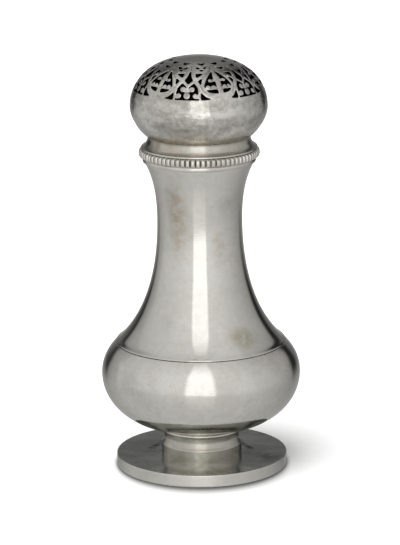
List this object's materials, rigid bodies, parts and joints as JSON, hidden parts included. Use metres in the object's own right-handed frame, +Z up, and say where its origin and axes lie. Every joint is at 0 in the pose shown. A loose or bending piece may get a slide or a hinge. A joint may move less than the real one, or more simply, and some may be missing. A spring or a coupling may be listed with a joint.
{
  "type": "sugar caster",
  "caption": "Pear-shaped silver sugar caster on a flat round foot, with a bun-shaped pierced cover that pushes into the milled mouth and lifts off to fill it.",
  "frame": {"origin": "centre of the foot's underside, on the table", "axes": "+Z up the axis of the body, front facing -Y"},
  "size_m": [0.086, 0.086, 0.1798],
  "materials": {
    "silver_body": "polished silver, softly worn, with faint warm tarnish",
    "silver_dome": "worn silver with mottled tarnish and fine dents",
    "silver_mounts": "polished silver, brighter on the raised edges",
    "silver_foot": "polished silver with table scratches",
    "silver_inside": "dull turned silver"
  },
  "bodies": {
    "body": {"foot_rim": "silver_foot", "foot_plate": "silver_foot", "foot_stem": "silver_foot", "bowl_ring": "silver_mounts", "body_bowl": "silver_body", "body_neck": "silver_body", "mouth_ring": "silver_inside", "rim_fillet": "silver_mounts", "milled_band": "silver_mounts"},
    "cover": {"cover_sleeve": "silver_inside", "cover_lip": "silver_mounts", "cover_collar": "silver_mounts", "cover_dome": "silver_dome"}
  },
  "joints": [
    {"name": "cover_lift", "type": "slide", "parent": "body", "child": "cover", "axis": [0, 0, 1], "range_m": [0, 0.025]}
  ]
}
